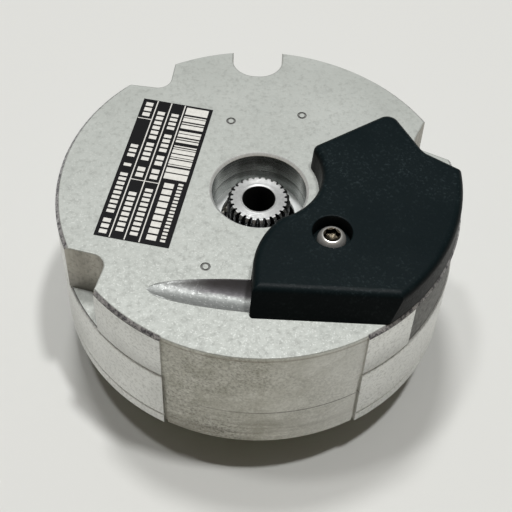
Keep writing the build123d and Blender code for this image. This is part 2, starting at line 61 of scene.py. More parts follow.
class Shader:
    """Short notation for building one node material."""

    def __init__(self, name):
        self.mat = bpy.data.materials.new(name)
        self.mat.use_nodes = True
        self.tree = self.mat.node_tree
        self.tree.nodes.clear()
        self.bsdf = self.node("ShaderNodeBsdfPrincipled")
        self.node("ShaderNodeOutputMaterial", {0: self.bsdf.outputs[0]})
        self.coords = self.node("ShaderNodeTexCoord").outputs["Object"]

    def node(self, kind, inputs=None, **settings):
        n = self.tree.nodes.new(kind)
        for key, value in settings.items():
            setattr(n, key, value)
        for key, value in (inputs or {}).items():
            self.put(n.inputs[key], value)
        return n

    def put(self, socket, value):
        if hasattr(value, "links"):
            self.tree.links.new(value, socket)
        else:
            socket.default_value = value

    def math(self, operation, a, b=0.0, clamp=False):
        return self.node("ShaderNodeMath", {0: a, 1: b}, operation=operation, use_clamp=clamp).outputs[0]

    def times(self, a, b):
        return self.math("MULTIPLY", a, b)

    def scaled(self, scale, offset=(0, 0, 0)):
        values = {"Vector": self.coords, "Scale": scale, "Location": offset}
        return self.node("ShaderNodeMapping", values).outputs[0]

    def noise(self, scale, detail=4.0, roughness=0.55, stretch=(1, 1, 1), offset=(0, 0, 0), distortion=0.0):
        values = {"Vector": self.scaled(stretch, offset), "Scale": scale, "Detail": detail,
                  "Roughness": roughness, "Distortion": distortion}
        return self.node("ShaderNodeTexNoise", values).outputs["Fac"]

    def cells(self, scale, feature):
        """Distance inside a pattern of cells with straight and diagonal borders."""
        values = {"Vector": self.coords, "Scale": scale}
        n = self.node("ShaderNodeTexVoronoi", values, feature=feature, voronoi_dimensions="2D",
                      distance="MANHATTAN")
        return n.outputs["Distance"]

    def ramp(self, value, *stops):
        """A value graded between two stops, each a place and a level."""
        n = self.node("ShaderNodeValToRGB", {0: value})
        elements = n.color_ramp.elements
        for element, (place, level) in zip(elements, stops):
            element.position = place
            element.color = (level, level, level, 1.0)
        return n.outputs[0]

    def spread(self, value, low=0.0, high=1.0):
        """A noise value with its usual range, 0.3 to 0.7, stretched between two levels."""
        return self.ramp(value, (0.3, low), (0.7, high))

    def tones(self, value, dark, light):
        return self.mix(self.spread(value), dark, light)

    def slope(self, a, b, rate):
        """The difference a - b times a rate, kept between 0 and 1."""
        return self.math("MULTIPLY", self.math("SUBTRACT", a, b), rate, True)

    def line(self, value, at, rate):
        """1 where a coordinate has one value, falling to 0 on both sides at a rate."""
        away = self.math("ABSOLUTE", self.math("SUBTRACT", value, at))
        return self.math("SUBTRACT", 1.0, self.math("MULTIPLY", away, rate), True)

    def mix(self, factor, a, b):
        n = self.node("ShaderNodeMix", {0: factor}, data_type="RGBA")
        for socket, value in ((n.inputs[6], a), (n.inputs[7], b)):
            self.put(socket, (*value, 1.0) if isinstance(value, tuple) else value)
        return n.outputs[2]

    def rings(self, scale):
        """Noise that only changes with the distance from the shaft's axis."""
        x, y, _ = self.place()
        across = self.math("SQRT", self.math("ADD", self.times(x, x), self.times(y, y)))
        values = {"W": across, "Scale": scale, "Detail": 3.0}
        return self.node("ShaderNodeTexNoise", values, noise_dimensions="1D").outputs["Fac"]

    def upness(self):
        """1 on faces that look straight up, 0 on upright ones, from the surface's own normal."""
        coords = self.node("ShaderNodeTexCoord")
        return self.node("ShaderNodeSeparateXYZ", {0: coords.outputs["Normal"]}).outputs[2]

    def bump(self, height, strength, distance, normal=None):
        values = {"Height": height, "Strength": strength, "Distance": distance}
        if normal is not None:
            values["Normal"] = normal
        return self.node("ShaderNodeBump", values).outputs[0]

    def place(self):
        """x, y and z of the point in the part's frame, in millimetres."""
        n = self.node("ShaderNodeSeparateXYZ", {0: self.scaled((1 / MM, 1 / MM, 1 / MM))})
        return n.outputs[0], n.outputs[1], n.outputs[2]

    def finish(self, colour, roughness, metallic=0.0, normal=None, **uniform):
        inputs = self.bsdf.inputs
        self.put(inputs["Base Color"], (*colour, 1.0) if isinstance(colour, tuple) else colour)
        self.put(inputs["Roughness"], roughness)
        self.put(inputs["Metallic"], metallic)
        if normal is not None:
            self.put(inputs["Normal"], normal)
        for key, value in uniform.items():
            inputs[key.replace("_", " ")].default_value = value
        return self.mat


def cast_skin():
    s = Shader("cast_aluminium_skin")
    broad = s.noise(70, 5, 0.6)
    smudge = s.noise(260, 5, 0.7, offset=(0.2, 0.5, 0.1), distortion=1.5)
    fine = s.noise(1300, 4, 0.65)
    speck = s.noise(3600, 2, 0.6, offset=(0.3, 0.1, 0.7))
    colour = s.tones(broad, (0.465, 0.485, 0.455), (0.525, 0.545, 0.515))
    colour = s.mix(s.ramp(smudge, (0.34, 0.24), (0.46, 0.0)), colour, (0.34, 0.35, 0.33))
    colour = s.mix(s.ramp(fine, (0.32, 0.35), (0.48, 0.0)), colour, (0.33, 0.34, 0.32))
    _, y, _ = s.place()
    # light specks: grain texture whose bright colour is a painted highlight, given more weight towards the
    # front (-y) as painted glints
    near = s.math("SUBTRACT", 0.26, s.times(y, 0.009), True)
    speck = s.times(s.ramp(speck, (0.57, 0.0), (0.68, 1.0)), near)
    colour = s.mix(speck, colour, (0.80, 0.82, 0.79))
    rough = s.spread(fine, 0.72, 0.58)
    normal = s.bump(fine, 0.45, 0.00006)
    normal = s.bump(speck, 0.2, 0.00003, normal)
    return s.finish(colour, rough, 0.7, normal)


def plain_metal(name, colour, rough, scale=600):
    s = Shader(name)
    grain = s.noise(scale, 4, 0.6)
    tone = s.tones(grain, tuple(c * 0.85 for c in colour), colour)
    sheen = s.spread(grain, rough * 1.25, rough * 0.85)
    return s.finish(tone, sheen, 1.0, s.bump(grain, 0.15, 0.00003))


def moulded(name, colour, rough, scale=1800, specular=0.5):
    s = Shader(name)
    grain = s.noise(scale, 3, 0.6)
    tone = s.tones(grain, tuple(c * 0.8 for c in colour), colour)
    sheen = s.spread(grain, min(1, rough * 1.15), rough * 0.9)
    return s.finish(tone, sheen, 0.0, s.bump(grain, 0.25, 0.00004), Specular_IOR_Level=specular)


def cover_plastic():
    s = Shader("black_cover_plastic")
    grain = s.noise(2300, 3, 0.6)
    patch = s.noise(85, 4, 0.6)
    cloud = s.ramp(patch, (0.45, 0.2), (0.66, 1.0))
    colour = s.tones(patch, (0.0034, 0.0078, 0.0092), (0.0062, 0.0112, 0.0126))
    speck = s.times(s.ramp(grain, (0.54, 0.0), (0.70, 0.8)), cloud)
    colour = s.mix(speck, colour, (0.030, 0.042, 0.045))
    # upright walls and fillets are painted darker than the top: painted shade
    upright_shade = s.ramp(s.upness(), (0.25, 0.85), (0.9, 0.0))
    colour = s.mix(upright_shade, colour, (0.0006, 0.0009, 0.0010))
    rough = s.spread(grain, 0.50, 0.36)
    normal = s.bump(grain, 0.5, 0.00006)
    return s.finish(colour, rough, 0.0, normal, Specular_IOR_Level=0.07)


def screw_steel():
    s = Shader("screw_steel")
    grain = s.noise(1400, 4, 0.6)
    colour = s.tones(grain, (0.62, 0.61, 0.57), (0.88, 0.87, 0.83))
    return s.finish(colour, s.spread(grain, 0.36, 0.25), 0.75, s.bump(grain, 0.3, 0.00003))


def shaft_steel():
    s = Shader("shaft_steel")
    lines = s.noise(7, 5, 0.7, stretch=(0.02, 0.02, 1000))
    grain = s.noise(1600, 4, 0.6)
    colour = s.tones(grain, (0.60, 0.605, 0.60), (0.78, 0.785, 0.775))
    rough = s.spread(lines, 0.30, 0.45)
    return s.finish(colour, rough, 0.7, s.bump(grain, 0.2, 0.00003))


def solder_mask():
    """Board varnish with the lines of the copper below it and small plated holes."""
    s = Shader("solder_mask")
    grain = s.noise(500, 3, 0.6)
    near = s.cells(330, "F1")
    trace = s.ramp(s.math("SUBTRACT", s.cells(330, "F2"), near), (0.05, 1.0), (0.10, 0.0))
    some = s.ramp(s.noise(160, 3, 0.5), (0.50, 0.0), (0.53, 1.0))
    via = s.times(s.ramp(near, (0.08, 1.0), (0.11, 0.0)), some)
    # the drilled middle of these holes is painted near-black: painted shade in the hole
    drill_hole_shade = s.times(s.ramp(near, (0.04, 1.0), (0.06, 0.0)), some)
    colour = s.tones(grain, (0.010, 0.085, 0.034), (0.016, 0.120, 0.050))
    colour = s.mix(s.times(trace, 0.8), colour, (0.045, 0.230, 0.085))
    colour = s.mix(via, colour, (0.50, 0.46, 0.34))
    colour = s.mix(drill_hole_shade, colour, (0.02, 0.02, 0.02))
    return s.finish(colour, s.spread(grain, 0.36, 0.26), 0.0, s.bump(trace, 0.4, 0.00003))


def shaft_face():
    s = Shader("shaft_end_face")
    rings = s.rings(5.0)
    grain = s.noise(1600, 4, 0.6)
    colour = s.tones(grain, (0.46, 0.465, 0.455), (0.62, 0.625, 0.615))
    normal = s.bump(rings, 0.7, 0.00008)
    rough = s.spread(grain, 0.42, 0.34)
    return s.finish(colour, rough, 0.7, s.bump(grain, 0.3, 0.00004, normal))


def turned_band():
    s = Shader("turned_band")
    lines = s.noise(9, 6, 0.75, stretch=(0.02, 0.02, 1000))
    broad = s.noise(110, 4, 0.6)
    fine = s.noise(2200, 3, 0.6)
    colour = s.tones(broad, (0.62, 0.625, 0.60), (0.76, 0.765, 0.74))
    colour = s.mix(s.ramp(fine, (0.32, 0.6), (0.52, 0.0)), colour, (0.36, 0.36, 0.34))
    rough = s.spread(lines, 0.30, 0.42)
    normal = s.bump(lines, 0.25, 0.00002)
    return s.finish(colour, rough, 0.8, s.bump(fine, 0.2, 0.00002, normal))


def front_casting():
    s = Shader("front_casting")
    x, _, z = s.place()
    blotch = s.noise(230, 7, 0.75, distortion=0.6)
    grain = s.noise(2300, 4, 0.7)
    cluster = s.noise(75, 4, 0.6, offset=(0.4, 0.2, 0.9))
    streaks = s.noise(34, 6, 0.7, stretch=(1, 1, 14))
    low = s.slope(11.0, z, 0.11)
    left = s.slope(6.0, x, 0.05)
    colour = s.mix(s.ramp(blotch, (0.35, 0.0), (0.7, 1.0)), (0.44, 0.432, 0.37), (0.68, 0.675, 0.62))
    stain = s.times(s.ramp(streaks, (0.40, 0.75), (0.58, 0.0)), low)
    colour = s.mix(stain, colour, (0.25, 0.235, 0.195))
    pits = s.ramp(grain, (0.38, 1.0), (0.54, 0.0))
    spots = s.times(pits, s.ramp(cluster, (0.38, 0.3), (0.58, 1.0)))
    spots = s.times(spots, s.math("ADD", 0.55, s.times(left, low), True))
    colour = s.mix(spots, colour, (0.17, 0.165, 0.14))
    colour = s.mix(s.ramp(grain, (0.60, 0.0), (0.72, 0.5)), colour, (0.80, 0.80, 0.74))
    # paler towards the right (+x): painted light from the right
    painted_light_right = s.slope(x, 2.0, 0.05)
    colour = s.mix(s.times(painted_light_right, 0.8), colour, (0.72, 0.73, 0.71))
    seam = s.line(z, SEAM_Z, 6.0)
    bold = s.math("MULTIPLY", s.math("ADD", x, 9.0), 0.055, True)
    seam = s.times(seam, s.math("ADD", 0.30, bold, True))
    colour = s.mix(seam, colour, (0.08, 0.075, 0.06))
    edge = s.line(z, 23.35, 3.2)
    colour = s.mix(s.times(edge, 0.55), colour, (0.20, 0.17, 0.13))
    rough = s.spread(grain, 0.60, 0.44)
    height = s.math("ADD", s.times(blotch, 0.5), s.times(grain, 0.5))
    return s.finish(colour, rough, 0.55, s.bump(height, 0.4, 0.00010))


def notch_wall():
    s = Shader("notch_wall")
    _, _, z = s.place()
    lines = s.noise(420, 4, 0.6, stretch=(1, 1, 0.06))
    fine = s.noise(1500, 4, 0.65)
    # low grows towards the ledge at the wall's foot; below it darkens the wall as painted shade in that
    # corner
    low = s.slope(19.0, z, 0.2)
    # the wall's own tones are set darker than the top skin: brownish as-cast metal, and painted shade inside
    # the notch
    colour = s.tones(lines, (0.29, 0.275, 0.235), (0.46, 0.44, 0.39))
    colour = s.mix(s.ramp(fine, (0.3, 0.5), (0.5, 0.0)), colour, (0.15, 0.15, 0.14))
    colour = s.mix(s.times(low, 0.6), colour, (0.10, 0.10, 0.095))
    return s.finish(colour, s.spread(fine, 0.55, 0.38), 0.8, s.bump(fine, 0.4, 0.00006))


def shaded_rough_cast():
    s = Shader("shaded_rough_cast")
    fine = s.noise(1500, 5, 0.7)
    # rough as-cast metal painted dark: painted shade on the pocket, which faces away from the lamps; the same
    # colour fills the ring marks and the row at the foot of the top chamfer
    colour = s.mix(s.ramp(fine, (0.35, 0.0), (0.65, 1.0)), (0.10, 0.10, 0.095), (0.22, 0.22, 0.21))
    return s.finish(colour, 0.6, 0.6, s.bump(fine, 0.5, 0.0001))


def polished_bore():
    s = Shader("polished_bore")
    _, y, z = s.place()
    lines = s.noise(7, 5, 0.7, stretch=(0.02, 0.02, 1000))
    # vertical light and dark streaks of the polished wall: painted reflections
    streaks = s.noise(230, 3, 0.5, stretch=(1, 1, 0.03), offset=(0.0131, 0.0047, 0))
    # darker towards the top of the bore: painted shade
    upper = s.slope(z, 21.2, 0.30)
    colour = s.mix(s.ramp(streaks, (0.38, 0.0), (0.60, 1.0)), (0.30, 0.325, 0.31), (0.74, 0.77, 0.75))
    colour = s.mix(s.times(upper, 0.75), colour, (0.13, 0.15, 0.145))
    # light streaks where the wall crosses y = 3.4, near azimuths 27 and 153 degrees: painted reflections
    band = s.line(y, 3.4, 0.75)
    band = s.times(band, s.ramp(streaks, (0.35, 0.35), (0.6, 1.0)))
    colour = s.mix(s.times(band, 0.9), colour, (0.90, 0.93, 0.91))
    return s.finish(colour, s.spread(lines, 0.20, 0.32), 0.75, s.bump(lines, 0.15, 0.00001))


def bore_rim():
    s = Shader("bore_rim")
    fine = s.noise(2200, 3, 0.6)
    colour = s.tones(fine, (0.74, 0.76, 0.74), (0.94, 0.96, 0.94))
    return s.finish(colour, 0.3, 0.55, s.bump(fine, 0.3, 0.00003))


def groove_skin():
    s = Shader("groove_skin")
    x, y, _ = s.place()
    fine = s.noise(1300, 4, 0.65)
    speck = s.noise(2600, 2, 0.6, offset=(0.1, 0.4, 0.2))
    patch = s.noise(420, 4, 0.6)
    colour = s.tones(fine, (0.27, 0.282, 0.272), (0.40, 0.415, 0.40))
    # the far wall (towards +y) is painted darker, more so towards the deep end at +x: painted shade
    far_wall_shade = s.math("ADD", s.times(s.math("ADD", y, 20.75), 1.3), s.times(patch, 1.2))
    depth = s.math("MULTIPLY", s.math("ADD", x, 15.0), 0.12, True)
    far_wall_shade = s.times(s.math("SUBTRACT", far_wall_shade, 0.75, True), depth)
    colour = s.mix(far_wall_shade, colour, (0.10, 0.095, 0.10))
    # light specks kept off the darkened far wall: painted glints on the near wall
    light = s.times(s.ramp(speck, (0.60, 0.0), (0.68, 0.6)), s.math("SUBTRACT", 1.0, far_wall_shade))
    colour = s.mix(light, colour, (0.80, 0.82, 0.80))
    return s.finish(colour, s.spread(fine, 0.58, 0.42), 0.6, s.bump(fine, 0.5, 0.00008))


def chamfer_cut():
    s = Shader("chamfer_cut")
    fine = s.noise(1300, 4, 0.75)
    patch = s.noise(260, 4, 0.6)
    # dark base of the machined chamfer: painted shade; the light specks and the dark patches are texture
    colour = s.mix(s.ramp(fine, (0.40, 0.0), (0.58, 1.0)), (0.12, 0.12, 0.135), (0.66, 0.66, 0.67))
    colour = s.mix(s.ramp(patch, (0.35, 0.4), (0.6, 0.0)), colour, (0.12, 0.12, 0.13))
    return s.finish(colour, 0.42, 0.7, s.bump(fine, 0.4, 0.00005))


def dark_casting():
    s = Shader("inner_casting")
    fine = s.noise(900, 4, 0.65)
    colour = s.tones(fine, (0.40, 0.40, 0.38), (0.52, 0.52, 0.50))
    return s.finish(colour, 0.5, 0.8, s.bump(fine, 0.3, 0.00006))


MATERIALS = {
    "cast_aluminium": cast_skin(),
    "black_plastic": cover_plastic(),
    "blackened_steel": screw_steel(),
    "label_film": moulded("label_film", (0.008, 0.008, 0.009), 0.5, 1800, 0.12),
    "shield_plastic": plain_metal("shield", (0.86, 0.88, 0.86), 0.4),
    "board_green": solder_mask(),
    "copper": plain_metal("copper", (0.80, 0.47, 0.27), 0.25),
    "zinc_steel": plain_metal("zinc_steel", (0.62, 0.62, 0.60), 0.28),
    "brass": plain_metal("brass", (0.72, 0.55, 0.27), 0.25),
    "chip_epoxy": moulded("chip_epoxy", (0.02, 0.02, 0.02), 0.5),
    "connector_black": moulded("connector_black", (0.02, 0.02, 0.022), 0.45),
    "carrier_plastic": moulded("carrier_plastic", (0.06, 0.06, 0.065), 0.5),
    "shaft_steel": shaft_steel(),
    "gold_contacts": plain_metal("gold_contacts", (0.85, 0.64, 0.25), 0.2),
    "gear_plastic": moulded("gear_plastic", (0.72, 0.70, 0.62), 0.4),
    "magnet": plain_metal("magnet", (0.40, 0.40, 0.41), 0.35),
    "recess": plain_metal("screw_recess", (0.055, 0.047, 0.034), 0.3),
    # walls of the hole in the shaft's end are painted near-black: painted shade in the deep hole
    "shaft_hole": moulded("shaft_hole_shade", (0.006, 0.006, 0.006), 0.6, 900),
    # near-black serrated sides of the shaft, crests and gaps alike: painted shade between the teeth
    "tooth_gap_shade": plain_metal("tooth_gap_shade", (0.085, 0.085, 0.09), 0.28, 1500),
    "shaft_face": shaft_face(),
    # the serration's lead-in chamfer is painted a darker steel than the shaft: painted reflection
    "tooth_lead_reflection": plain_metal("tooth_lead_reflection", (0.36, 0.36, 0.36), 0.25, 1500),
    "label_white": moulded("label_white", (0.80, 0.79, 0.74), 0.5),
}
# the housing's kinds of surface, in the order of its material slots
SKIN, TURNED, FRONT, SHADED_ROUGH, BORE, INNER, EDGE, GROOVE, NOTCH, RIM_CUT = range(10)
HOUSING_MATERIALS = ["cast_aluminium"]
for make in (turned_band, front_casting, shaded_rough_cast, polished_bore, dark_casting, chamfer_cut, groove_skin,
             notch_wall, bore_rim):
    MATERIALS[make.__name__] = make()
    HOUSING_MATERIALS.append(make.__name__)
for part in frame["record"]["subparts"]:
    node = NODES[part["node"]]
    node.data.materials.clear()
    node.data.materials.append(MATERIALS[part["material_slot"]])


# ---- mesh helpers

WELD_M = 0.000002
SLIVER_M = 0.000001
LEVEL = 0.9999


def direction(az):
    """Unit vector in the plane, from an azimuth in degrees."""
    return Vector((cos(radians(az)), sin(radians(az))))


def new_object(name, data):
    obj = bpy.data.objects.new(name, data)
    bpy.context.scene.collection.objects.link(obj)
    return obj


def new_mesh(name, sheet, materials=()):
    """Mesh from a sheet in millimetres, welded, with all faces turned outwards."""
    mesh = bpy.data.meshes.new(name)
    mesh.from_pydata([tuple(c * MM for c in v) for v in sheet.verts], [], sheet.faces)
    for material in materials:
        mesh.materials.append(MATERIALS[material])
    for polygon, kind in zip(mesh.polygons, sheet.kinds):
        polygon.material_index = kind
    work = bmesh.new()
    work.from_mesh(mesh)
    bmesh.ops.remove_doubles(work, verts=work.verts, dist=WELD_M)
    bmesh.ops.dissolve_degenerate(work, edges=work.edges, dist=SLIVER_M)
    bmesh.ops.recalc_face_normals(work, faces=work.faces)
    work.to_mesh(mesh)
    work.free()
    return mesh


def build(name, sheet, materials, body, angle, stands_for=()):
    """Piece of the part; faces get the material of their kind, and edges over the angle are sharp."""
    mesh = new_mesh(name, sheet, materials)
    mesh.set_sharp_from_angle(angle=radians(angle))
    for polygon in mesh.polygons:
        polygon.use_smooth = abs(polygon.normal.z) < LEVEL
    obj = new_object(name, mesh)
    if stands_for:
        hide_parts(*stands_for)
    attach(obj, body)
    return obj


class Sheet:
    """Collects vertices and faces with their kinds."""

    def __init__(self):
        self.verts = []
        self.faces = []
        self.kinds = []

    def add(self, verts, faces, kind=0):
        start = len(self.verts)
        self.verts += [tuple(v) for v in verts]
        self.faces += [tuple(i + start for i in f) for f in faces]
        self.kinds += [kind] * len(faces) if isinstance(kind, int) else list(kind)

    def grid(self, rows, closed=False, kind=0):
        """Quads between rows of equal length; closed joins the last row to the first."""
        count = len(rows)
        width = len(rows[0])
        verts = [p for row in rows for p in row]
        faces = []
        kinds = []
        for i in range(count if closed else count - 1):
            j = (i + 1) % count
            for k in range(width - 1):
                faces.append((i * width + k, j * width + k, j * width + k + 1, i * width + k + 1))
                kinds.append(kind if isinstance(kind, int) else kind(i, k))
        self.add(verts, faces, kinds)

    def revolve(self, profile, steps=160, kind=0, at=(0, 0)):
        rows = []
        for i in range(steps):
            d = direction(360 * i / steps)
            rows.append([(at[0] + r * d.x, at[1] + r * d.y, z) for r, z in profile])
        self.grid(rows, True, kind if isinstance(kind, int) else (lambda i, k: kind[k]))

    def cap(self, outer, holes, z, kind=0):
        """Flat face at one height, inside the outer loop and outside the holes."""
        loops = [outer] + list(holes)
        points = []
        faces = []
        for loop in loops:
            start = len(points)
            points += [Vector((p[0], p[1])) for p in loop]
            faces.append(list(range(start, len(points))))
        result = delaunay_2d_cdt(points, [], faces, 1, 1e-6)
        keep = []
        for triangle in result[2]:
            middle = sum((result[0][i] for i in triangle), Vector((0, 0))) / 3
            if not any(inside(middle, hole) for hole in holes):
                keep.append(tuple(triangle))
        self.add([(p.x, p.y, z) for p in result[0]], keep, kind)


def inside(p, loop):
    hit = False
    for a, b in zip(loop, list(loop[1:]) + [loop[0]]):
        if (a[1] > p.y) != (b[1] > p.y):
            if p.x < a[0] + (p.y - a[1]) * (b[0] - a[0]) / (b[1] - a[1]):
                hit = not hit
    return hit


def circle(r, at=(0, 0), steps=96):
    return [(at[0] + r * cos(2 * pi * i / steps), at[1] + r * sin(2 * pi * i / steps)) for i in range(steps)]


# ---- housing

TOP = 24.3
LEDGE = 14.0
TURNED_R = 32.494
TURNED_LINE_R = 32.18
CAST_R = 32.15
FOOT_R = 31.6
BORE_RIM_R = 8.02
SEGMENT = (-114.5, -58.0)
POCKET_FROM = -41.5
ARC_STEP = 1.25
# azimuth of each notch's corner, and the azimuth its mouth looks to
NOTCHES = ((24.1, 21.5), (126.9, 129.6), (213.8, 212.4))
NOTCH_R = 27.2
NOTCH_FILLET = 2.3
NOTCH_REACH = (31.5, 31.2, 30.0)
SLOT_X = -1.4
SLOT_WIDTH = 8.6
SLOT_Y = 25.9
SLOT_FILLET = 4.0
SLOT_REACH = (31.5, 31.2, 30.6)
FILLET_STEPS = 12

# (radius, height) of the rim from the ledge up to the top plate, one row per kind of surface;
# FULL is the index of the point at full radius from which the upper edge starts
FULL = 4
TURNED_FOOT = [(TURNED_LINE_R, LEDGE), (TURNED_LINE_R, 14.2), (32.46, 14.25), (TURNED_R, 14.33)]
CAST_FOOT = [(CAST_R, LEDGE), (CAST_R, 14.2), (CAST_R, 14.25), (CAST_R, 14.33)]
TURNED_LIP = [(32.2, 24.0), (31.97, 24.23), (31.86, TOP)]
RIM = {
    "turned": TURNED_FOOT + [(TURNED_R, 23.6), (32.46, 23.74)] + TURNED_LIP,
    "segment": CAST_FOOT + [(CAST_R, 23.6), (CAST_R, 23.9), (32.14, 24.1), (32.08, 24.25), (31.95, TOP)],
    "pocket": CAST_FOOT + [(CAST_R, 23.62), (32.43, 23.7)] + TURNED_LIP,
}
# (distance back from the wall's plane, height) of a notch wall, with the same number of points
WALL = [(0, LEDGE), (0, 14.2), (0, 14.25), (0, 14.33), (0, 23.6), (0, 23.9),
        (0.01, 24.1), (0.06, 24.24), (0.22, TOP)]


def cross_circle(start, way, r):
    """Where a line from a point inside the circle meets it."""
    along = start.dot(way)
    return start + way * (-along + sqrt(along * along - start.length_squared + r * r))


def wall_column(p, inward):
    return [(p.x + inward.x * o, p.y + inward.y * o, z) for o, z in WALL]


def corner_column(start, way, inward, kind):
    """Where a notch wall leaves the rim: on the rim's profile, and in the wall's plane."""
    column = []
    for (r, z), (o, _) in zip(RIM[kind], WALL):
        p = cross_circle(start + inward * o * 0.6, way, r)
        column.append((p.x, p.y, z))
    return column


def arc_columns(az0, az1, profile, kind):
    """The profile at even steps of azimuth, each column with its kind."""
    steps = max(1, int(abs(az1 - az0) / ARC_STEP))
    columns = []
    for i in range(steps + 1):
        d = direction(az0 + (az1 - az0) * i / steps)
        columns.append(([(d.x * r, d.y * r, z) for r, z in profile], kind))
    return columns


def rim_arc(az0, az1, kind):
    return arc_columns(az0, az1, RIM[kind], kind)


def notch_columns(corner_az, bisector, kind_in, kind_out):
    """Two walls at right angles with a round corner, from one rim to the other."""
    corner = direction(corner_az) * NOTCH_R
    a = direction(bisector - 45)
    b = direction(bisector + 45)
    walls = [corner_column(corner, a, -b, kind_in)]
    for reach in NOTCH_REACH:
        walls.append(wall_column(cross_circle(corner, a, reach), -b))
    centre = corner + (a + b) * NOTCH_FILLET
    for i in range(FILLET_STEPS + 1):
        angle = radians(bisector + 225 - 90 * i / FILLET_STEPS)
        d = Vector((cos(angle), sin(angle)))
        walls.append(wall_column(centre + d * NOTCH_FILLET, d))
    for reach in reversed(NOTCH_REACH):
        walls.append(wall_column(cross_circle(corner, b, reach), -a))
    walls.append(corner_column(corner, b, -a, kind_out))
    return [(wall, "notch") for wall in walls]


def slot_side(side):
    """One wall of the rear slot with its round corner, from the rim inwards; side is 1 or -1."""
    up = Vector((0, 1))
    out = Vector((side, 0))
    base = Vector((SLOT_X + side * SLOT_WIDTH / 2, SLOT_Y + SLOT_FILLET))
    walls = [corner_column(base, up, out, "turned")]
    for reach in SLOT_REACH:
        walls.append(wall_column(cross_circle(base, up, reach), out))
    centre = Vector((SLOT_X + side * (SLOT_WIDTH / 2 - SLOT_FILLET), SLOT_Y + SLOT_FILLET))
    for i in range(FILLET_STEPS + 1):
        turn = 90 * i / FILLET_STEPS
        angle = radians(-turn) if side > 0 else radians(180 + turn)
        d = Vector((cos(angle), sin(angle)))
        walls.append(wall_column(centre + d * SLOT_FILLET, d))
    return [(wall, "notch") for wall in walls]


def azimuth_of(entry):
    column = entry[0]
    return degrees(atan2(column[FULL][1], column[FULL][0])) % 360


def rim_columns():
    """Columns of the upper rim in order of azimuth, each with its kind."""
    right = notch_columns(*NOTCHES[0], "pocket", "turned")
    rear = notch_columns(*NOTCHES[1], "turned", "turned")
    front = notch_columns(*NOTCHES[2], "turned", "turned")
    slot_low = degrees(acos((SLOT_X + SLOT_WIDTH / 2) / TURNED_R))
    slot_high = degrees(acos((SLOT_X - SLOT_WIDTH / 2) / TURNED_R))
    cast_from = SEGMENT[0] + 360
    cast_to = SEGMENT[1] + 360
    columns = rim_arc(POCKET_FROM, azimuth_of(right[0]), "pocket")
    columns += right
    columns += rim_arc(azimuth_of(right[-1]), slot_low, "turned")
    columns += slot_side(1)
    columns += reversed(slot_side(-1))
    columns += rim_arc(slot_high, azimuth_of(rear[0]), "turned")
    columns += rear
    columns += rim_arc(azimuth_of(rear[-1]), azimuth_of(front[0]), "turned")
    columns += front
    columns += rim_arc(azimuth_of(front[-1]), cast_from, "turned")
    columns += rim_arc(cast_from, cast_to, "segment")
    columns += rim_arc(cast_to, POCKET_FROM + 360, "turned")
    return columns


# (radius, height) of the turned drum below the ledge, with its two turned lines
DRUM_TURNED = [(FOOT_R, 0.0), (32.32, 0.0), (32.44, 0.04), (TURNED_R, 0.14), (TURNED_R, 1.98), (32.40, 2.14),
               (TURNED_LINE_R, 2.2), (TURNED_LINE_R, 2.56), (32.46, 2.6), (TURNED_R, 2.63),
               (TURNED_R, SEAM_Z), (TURNED_R, 13.48), (32.38, 13.68), (TURNED_LINE_R, 13.76),
               (TURNED_LINE_R, LEDGE)]
SUNK_LOW = 0.3
SUNK_HIGH = 0.12


def cast_limit(z):
    """Largest radius of the unturned segment at a height; its lower edge is rounded."""
    if z < 0.02:
        return 32.0
    return 32.1 if z < 0.1 else CAST_R


def drum_columns():
    """Columns of the drum below the ledge; a narrow sunk strip divides the segment from the turned part."""
    cast = [(min(r, cast_limit(z)), z) for r, z in DRUM_TURNED]
    sunk = [(max(FOOT_R, r - (SUNK_LOW if z <= SEAM_Z else SUNK_HIGH)), z) for r, z in cast]
    start, stop = SEGMENT
    columns = arc_columns(stop, start + 360, DRUM_TURNED, TURNED)
    columns += arc_columns(start + 360, start + 360.75, sunk, FRONT)
    columns += arc_columns(start + 360.85, stop + 359.15, cast, FRONT)
    columns += arc_columns(stop + 359.25, stop + 360, sunk, FRONT)
    return columns


GROOVE_TIP = Vector((-16.0, -20.75))
GROOVE_WAY = direction(-1.4)
GROOVE_R = 3.0
GROOVE_SLOPE = 0.15
GROOVE_LENGTH = 18.4
GROOVE_EDGE = 0.13
GROOVE_ROWS = 40
GROOVE_STEPS = 20


def groove_row(u, edge):
    """One cross-section of the cable groove; edge rounds its rim."""
    depth = max(GROOVE_SLOPE * u, 1e-4)
    half = acos((GROOVE_R - depth) / GROOVE_R)
    across = Vector((-GROOVE_WAY.y, GROOVE_WAY.x))
    centre = GROOVE_TIP + GROOVE_WAY * u
    edge = min(edge, depth * 0.8)
    row = []
    for i in range(GROOVE_STEPS + 1):
        angle = -half + 2 * half * i / GROOVE_STEPS
        p = centre + across * (GROOVE_R * sin(angle))
        row.append((p.x, p.y, TOP - (GROOVE_R * cos(angle) - (GROOVE_R - depth))))
    first = centre + across * (-GROOVE_R * sin(half) - edge)
    last = centre + across * (GROOVE_R * sin(half) + edge)
    row[0] = (row[0][0], row[0][1], TOP - edge * 0.6)
    row[-1] = (row[-1][0], row[-1][1], TOP - edge * 0.6)
    return [(first.x, first.y, TOP)] + row + [(last.x, last.y, TOP)]


def add_groove(sheet):
    """The cable groove; returns its outline in the top plate."""
    rows = []
    for i in range(1, GROOVE_ROWS + 1):
        rows.append(groove_row(GROOVE_LENGTH * (i / GROOVE_ROWS) ** 1.3, GROOVE_EDGE))
    tip = (GROOVE_TIP.x - 0.25, GROOVE_TIP.y, TOP)
    sheet.grid([[tip] * len(rows[0])] + rows, False, GROOVE)
    end = rows[-1]
    sheet.add(end, [tuple(range(len(end)))], SKIN)
    return [tip] + [row[0] for row in rows] + [row[-1] for row in reversed(rows)]


